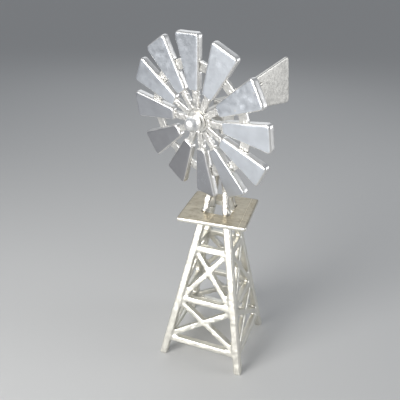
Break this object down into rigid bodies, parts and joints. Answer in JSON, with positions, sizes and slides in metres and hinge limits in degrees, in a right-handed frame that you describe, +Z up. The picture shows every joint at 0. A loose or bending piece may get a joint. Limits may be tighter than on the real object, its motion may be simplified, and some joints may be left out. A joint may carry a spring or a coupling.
{
  "type": "garden windmill",
  "caption": "Small cast-metal farm windmill ornament: a braced four-leg tower with a swivelling head, a spinning bladed wheel and a flat tail vane.",
  "frame": {"origin": "on the ground, midway between the four cut feet, on the tower's upright axis", "axes": "+Z up; the tower's front face looks towards -Y; the head and its wheel point 20 degrees from -Y towards -X at rest"},
  "size_m": [0.1046, 0.1242, 0.2425],
  "materials": {
    "tower_casting": "cast and hand-filed, satin, with solder at the joints",
    "head_casting": "cast and hand-filed, satin",
    "platform_plate": "rolled plate, warm grey, scribed and scratched",
    "blade_plate": "smooth satin with brightened edges",
    "wheel_casting": "rough cast with solder",
    "vane_plate": "brushed, darker grey",
    "polished_nut": "mirror polished",
    "shaft_steel": "drawn rod"
  },
  "bodies": {
    "tower": {"leg_front_left": "tower_casting", "leg_front_right": "tower_casting", "leg_back_left": "tower_casting", "leg_back_right": "tower_casting", "girt_front_low": "tower_casting", "girt_front_middle": "tower_casting", "girt_front_high": "tower_casting", "girt_right_low": "tower_casting", "girt_right_middle": "tower_casting", "girt_right_high": "tower_casting", "girt_back_low": "tower_casting", "girt_back_middle": "tower_casting", "girt_back_high": "tower_casting", "girt_left_low": "tower_casting", "girt_left_middle": "tower_casting", "girt_left_high": "tower_casting", "brace_front_lower_rising": "tower_casting", "brace_front_lower_falling": "tower_casting", "brace_front_upper_rising": "tower_casting", "brace_front_upper_falling": "tower_casting", "brace_right_lower_rising": "tower_casting", "brace_right_lower_falling": "tower_casting", "brace_right_upper_rising": "tower_casting", "brace_right_upper_falling": "tower_casting", "brace_back_lower_rising": "tower_casting", "brace_back_lower_falling": "tower_casting", "brace_back_upper_rising": "tower_casting", "brace_back_upper_falling": "tower_casting", "brace_left_lower_rising": "tower_casting", "brace_left_lower_falling": "tower_casting", "brace_left_upper_rising": "tower_casting", "brace_left_upper_falling": "tower_casting", "platform": "platform_plate", "post_front_left": "head_casting", "post_front_right": "head_casting", "post_back_left": "head_casting", "post_back_right": "head_casting", "post_cap": "head_casting", "mast": "head_casting"},
    "head": {"head_block": "head_casting", "tail_boom": "head_casting", "tail_vane": "vane_plate"},
    "wheel": {"wheel_shaft": "shaft_steel", "hub_spider": "wheel_casting", "blade_ring": "wheel_casting", "blade_01": "blade_plate", "blade_02": "blade_plate", "blade_03": "blade_plate", "blade_04": "blade_plate", "blade_05": "blade_plate", "blade_06": "blade_plate", "blade_07": "blade_plate", "blade_08": "blade_plate", "blade_09": "blade_plate", "blade_10": "blade_plate", "blade_11": "blade_plate", "blade_12": "blade_plate", "hub_collar": "wheel_casting", "hub_nut": "polished_nut"}
  },
  "joints": [
    {"name": "head_yaw", "type": "hinge", "parent": "tower", "child": "head", "pos_m": [0, 0, 0.19414], "axis": [0, 0, 1], "continuous": true},
    {"name": "wheel_spin", "type": "hinge", "parent": "head", "child": "wheel", "pos_m": [-0.00858, -0.02358, 0.18881], "axis": [-0.3345, -0.9192, -0.2079], "continuous": true}
  ]
}
